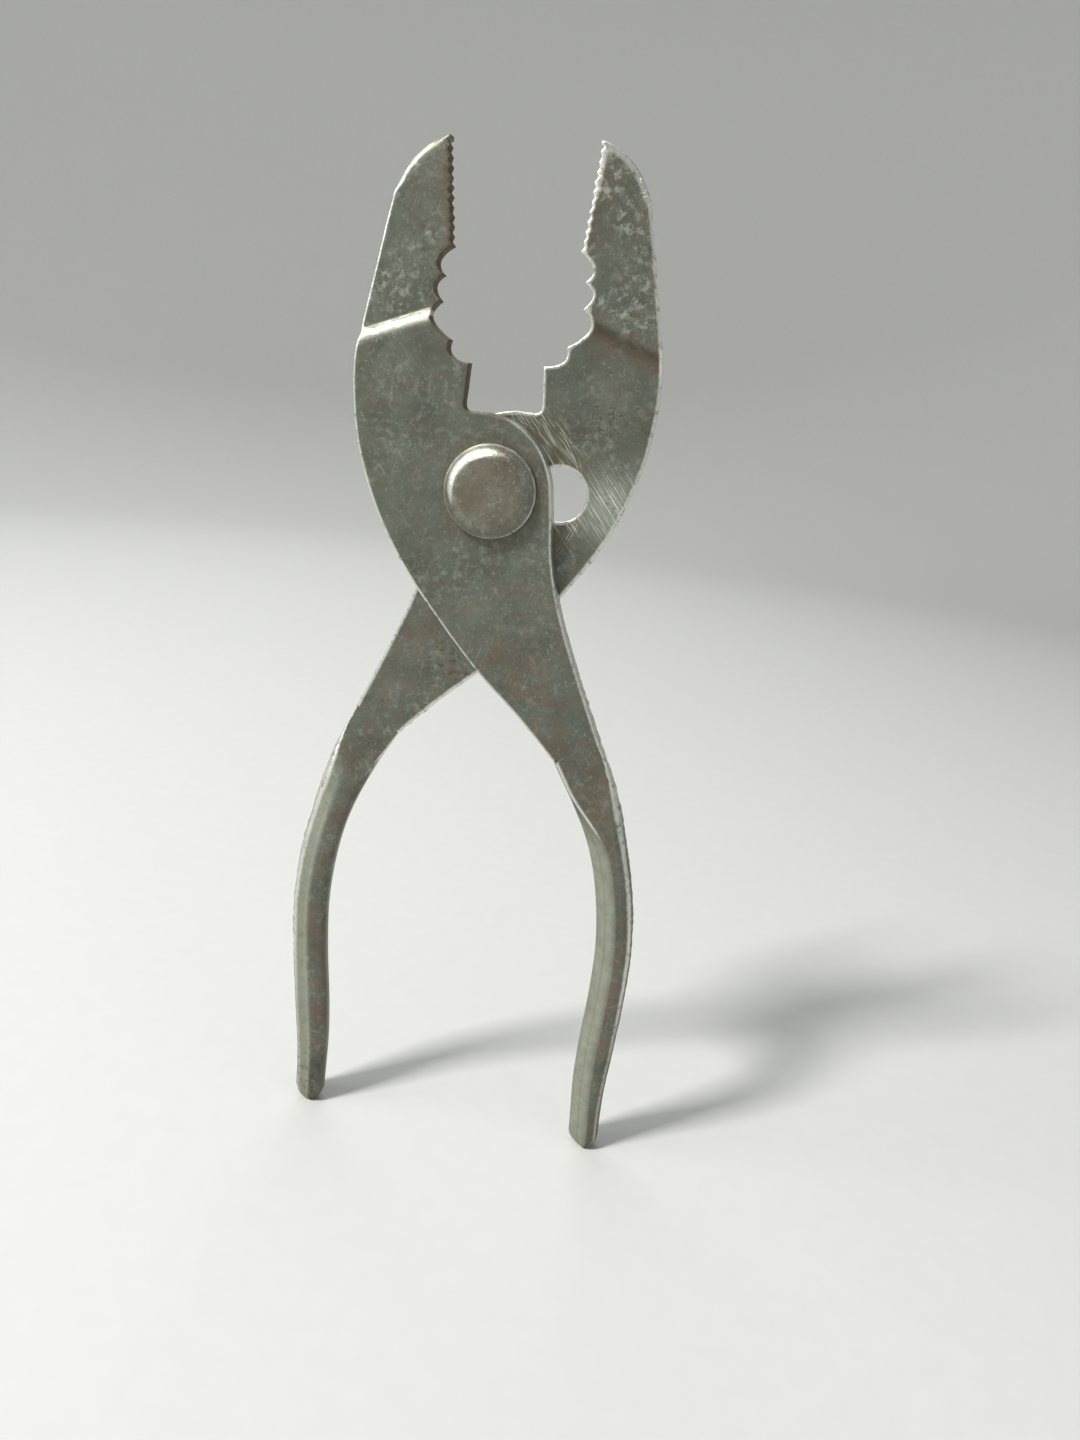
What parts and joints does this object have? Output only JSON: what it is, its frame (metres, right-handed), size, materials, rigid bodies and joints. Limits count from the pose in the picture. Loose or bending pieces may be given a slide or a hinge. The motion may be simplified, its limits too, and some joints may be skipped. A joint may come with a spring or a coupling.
{
  "type": "slip-joint pliers",
  "caption": "Slip-joint pliers stamped from sheet steel, jaws open, with toothed jaws, a riveted two-position pivot and rolled handles.",
  "frame": {"origin": "on the surface that the two handle ends stand on, under the middle of the open pliers", "axes": "+Z from the handle ends towards the jaws, -Y out of the front lever's face, the levers turn about Y"},
  "size_m": [0.0546, 0.0088, 0.1487],
  "materials": {
    "front_lever_steel": "worn grey plated sheet steel",
    "back_lever_steel": "worn grey plated sheet steel with brown rub marks",
    "rivet_steel": "worn rivet steel with rusty speckle",
    "washer_steel": "worn sheet steel"
  },
  "bodies": {
    "front_lever": {"front_lever": "front_lever_steel", "pivot_rivet": "rivet_steel"},
    "rear_washer": {"rear_washer": "washer_steel"},
    "back_lever": {"back_lever": "back_lever_steel"}
  },
  "joints": [
    {"name": "pivot_turn", "type": "hinge", "parent": "front_lever", "child": "rear_washer", "pos_m": [-0.00145, 0, 0.10345], "axis": [0, 1, 0], "range_deg": [-13.5, 80]},
    {"name": "slot_slip", "type": "slide", "parent": "rear_washer", "child": "back_lever", "axis": [-0.9986, 0, -0.0531], "range_m": [0, 0.00944]}
  ]
}
